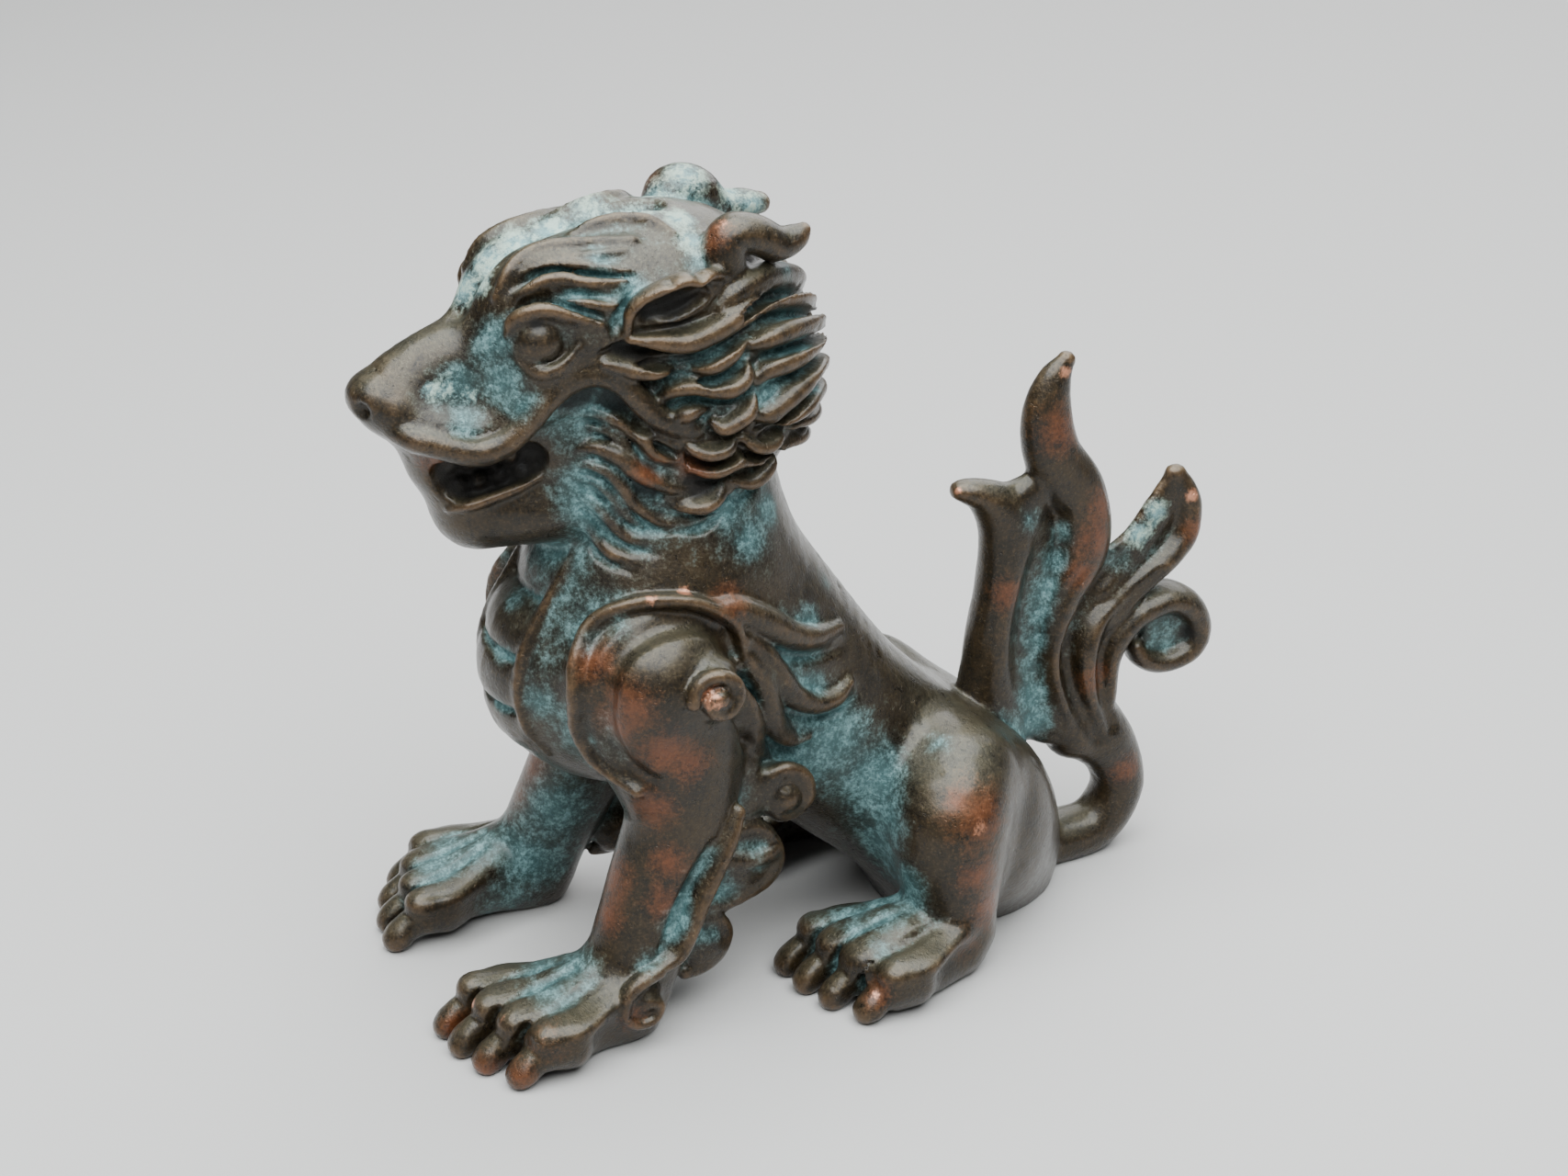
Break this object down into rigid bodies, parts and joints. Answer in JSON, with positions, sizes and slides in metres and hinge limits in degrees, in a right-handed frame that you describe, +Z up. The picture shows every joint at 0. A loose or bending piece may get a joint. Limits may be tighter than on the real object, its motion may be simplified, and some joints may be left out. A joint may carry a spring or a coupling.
{
  "type": "mythical beast figure",
  "caption": "Seated, horned lion-like beast with a curled mane and a flame-shaped tail, cast in brass as a small figure that stands by itself.",
  "frame": {"origin": "middle of the figure's footprint box, on the surface that it stands on", "axes": "+Z up, -Y the way the beast looks, +X its left side"},
  "size_m": [0.0544, 0.107, 0.0948],
  "materials": {
    "patinated_brass": "dark brown patina over cast brass, rubbed to orange copper on the high places, with blue-green verdigris in the hollows"
  },
  "bodies": {
    "root": {"mythical_beast": "patinated_brass"}
  },
  "joints": []
}
